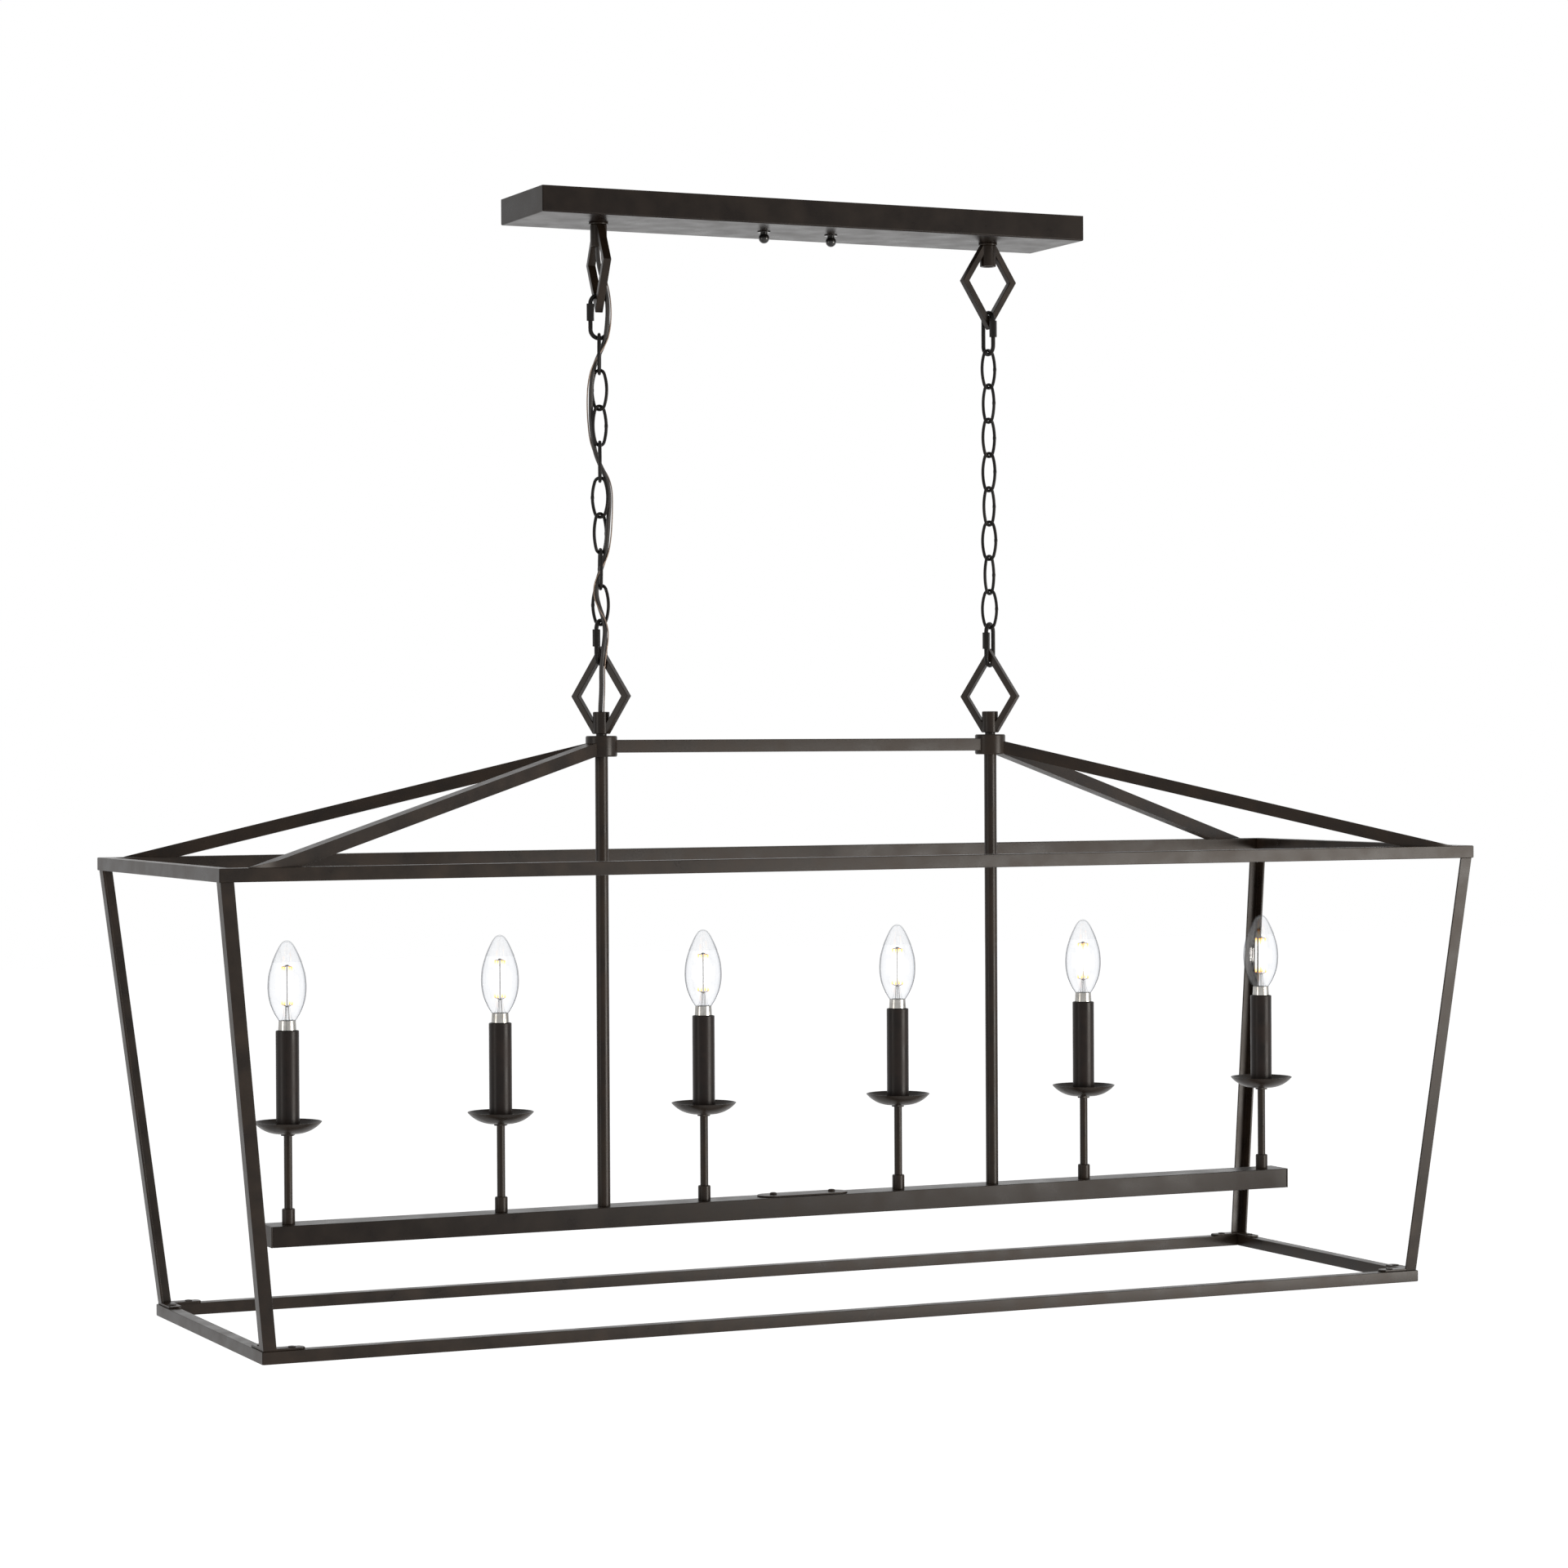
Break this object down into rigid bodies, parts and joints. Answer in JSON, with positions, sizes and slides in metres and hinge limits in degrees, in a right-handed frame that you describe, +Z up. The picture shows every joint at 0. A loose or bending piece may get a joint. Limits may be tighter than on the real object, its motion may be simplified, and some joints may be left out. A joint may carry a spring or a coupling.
{
  "type": "linear island pendant",
  "caption": "Linear island pendant: a tapered open lantern of dark metal bar with candle lights on a long beam, hung by two chains from a rectangular canopy.",
  "frame": {"origin": "centre of the canopy's rim and the crossbar's top, in the plane of the ceiling", "axes": "+Z up into the ceiling, +X along the lamp, -Y towards the viewer"},
  "size_m": [1.257, 0.3938, 1.0342],
  "materials": {
    "bronze": "satin dark bronze",
    "chain": "satin black",
    "candle": "satin dark bronze",
    "steel": "zinc plated",
    "bulb_metal": "bright",
    "glass": "clear",
    "socket": "black",
    "cord": "dark",
    "copper": "bare",
    "connector": "moulded"
  },
  "bodies": {
    "ceiling_mount": {"canopy_pan": "bronze", "mounting_crossbar": "steel", "canopy_studs": "steel", "ball_nuts": "bronze", "ground_screw": "copper", "loop_nipples": "steel", "nipple_nuts_and_washers": "bronze", "upper_loop_left": "bronze", "upper_loop_right": "bronze", "wire_connectors": "connector"},
    "upper_left_link": {"quick_link_upper_left": "chain"},
    "left_chain": {"chain_left": "chain", "supply_cord": "cord", "ground_wire": "copper"},
    "lower_left_link": {"quick_link_lower_left": "chain"},
    "lantern": {"hub_nipples": "steel", "lower_loop_left": "bronze", "lower_loop_right": "bronze", "hubs": "bronze", "ridge_bar": "bronze", "roof_arms": "bronze", "upper_rail_front": "bronze", "upper_rail_back": "bronze", "upper_end_rails": "bronze", "lower_rail_front": "bronze", "lower_rail_back": "bronze", "lower_end_rails": "bronze", "corner_posts": "bronze", "foot_screws": "bronze", "hanger_tubes": "bronze", "lamp_beam": "bronze", "beam_cover_plate": "bronze", "cover_plate_screws": "bronze", "beam_end_caps": "bronze", "stem_collars": "bronze", "candle_stems": "bronze", "dish_nuts": "bronze", "drip_dishes": "bronze", "lamp_sockets": "socket", "candle_sleeves": "candle", "lamp_leads": "cord"},
    "upper_right_link": {"quick_link_upper_right": "chain"},
    "right_chain": {"chain_right": "chain"},
    "lower_right_link": {"quick_link_lower_right": "chain"},
    "upper_left_link_nut": {"quick_link_nut_upper_left": "chain"},
    "upper_right_link_nut": {"quick_link_nut_upper_right": "chain"},
    "lower_left_link_nut": {"quick_link_nut_lower_left": "chain"},
    "lower_right_link_nut": {"quick_link_nut_lower_right": "chain"},
    "bulb_1": {"bulb_1_glass": "glass", "bulb_1_base": "bulb_metal"},
    "bulb_2": {"bulb_2_glass": "glass", "bulb_2_base": "bulb_metal"},
    "bulb_3": {"bulb_3_glass": "glass", "bulb_3_base": "bulb_metal"},
    "bulb_4": {"bulb_4_glass": "glass", "bulb_4_base": "bulb_metal"},
    "bulb_5": {"bulb_5_glass": "glass", "bulb_5_base": "bulb_metal"},
    "bulb_6": {"bulb_6_glass": "glass", "bulb_6_base": "bulb_metal"}
  },
  "joints": [
    {"name": "fore_aft_sway", "type": "hinge", "parent": "ceiling_mount", "child": "upper_left_link", "pos_m": [-0.2032, 0, -0.09093], "axis": [1, 0, 0], "range_deg": [-4, 4], "deforming": ["supply_cord", "ground_wire"]},
    {"name": "side_sway", "type": "hinge", "parent": "upper_left_link", "child": "left_chain", "pos_m": [-0.2032, 0, -0.13113], "axis": [0, 1, 0], "range_deg": [-6, 6], "deforming": ["supply_cord", "ground_wire"]},
    {"name": "left_level", "type": "hinge", "parent": "left_chain", "child": "lower_left_link", "pos_m": [-0.2032, 0, -0.39243], "axis": [0, 1, 0], "range_deg": [-6, 6], "deforming": ["supply_cord", "ground_wire"]},
    {"name": "lantern_rock", "type": "hinge", "parent": "lower_left_link", "child": "lantern", "pos_m": [-0.2032, 0, -0.43263], "axis": [1, 0, 0], "range_deg": [-4, 4], "deforming": ["supply_cord", "ground_wire"]},
    {"name": "right_fore_aft_sway", "type": "hinge", "parent": "ceiling_mount", "child": "upper_right_link", "pos_m": [0.2032, 0, -0.09093], "axis": [1, 0, 0], "range_deg": [-4, 4]},
    {"name": "right_side_sway", "type": "hinge", "parent": "upper_right_link", "child": "right_chain", "pos_m": [0.2032, 0, -0.13113], "axis": [0, 1, 0], "range_deg": [-6, 6]},
    {"name": "right_level", "type": "hinge", "parent": "right_chain", "child": "lower_right_link", "pos_m": [0.2032, 0, -0.39243], "axis": [0, 1, 0], "range_deg": [-6, 6]},
    {"name": "upper_left_nut_slide", "type": "slide", "parent": "upper_left_link", "child": "upper_left_link_nut", "axis": [0, 0, -1], "range_m": [0, 0.0074]},
    {"name": "upper_right_nut_slide", "type": "slide", "parent": "upper_right_link", "child": "upper_right_link_nut", "axis": [0, 0, -1], "range_m": [0, 0.0074]},
    {"name": "lower_left_nut_slide", "type": "slide", "parent": "lower_left_link", "child": "lower_left_link_nut", "axis": [0, 0, -1], "range_m": [0, 0.0074]},
    {"name": "lower_right_nut_slide", "type": "slide", "parent": "lower_right_link", "child": "lower_right_link_nut", "axis": [0, 0, -1], "range_m": [0, 0.0074]},
    {"name": "bulb_1_unscrew", "type": "slide", "parent": "lantern", "child": "bulb_1", "axis": [0, 0, 1], "range_m": [0, 0.06]},
    {"name": "bulb_2_unscrew", "type": "slide", "parent": "lantern", "child": "bulb_2", "axis": [0, 0, 1], "range_m": [0, 0.06]},
    {"name": "bulb_3_unscrew", "type": "slide", "parent": "lantern", "child": "bulb_3", "axis": [0, 0, 1], "range_m": [0, 0.06]},
    {"name": "bulb_4_unscrew", "type": "slide", "parent": "lantern", "child": "bulb_4", "axis": [0, 0, 1], "range_m": [0, 0.06]},
    {"name": "bulb_5_unscrew", "type": "slide", "parent": "lantern", "child": "bulb_5", "axis": [0, 0, 1], "range_m": [0, 0.06]},
    {"name": "bulb_6_unscrew", "type": "slide", "parent": "lantern", "child": "bulb_6", "axis": [0, 0, 1], "range_m": [0, 0.06]}
  ],
  "couplings": [
    {"joint": "left_level", "follows": "side_sway", "ratio": -1},
    {"joint": "right_fore_aft_sway", "follows": "fore_aft_sway", "ratio": 1},
    {"joint": "right_side_sway", "follows": "side_sway", "ratio": 1},
    {"joint": "right_level", "follows": "side_sway", "ratio": -1}
  ]
}
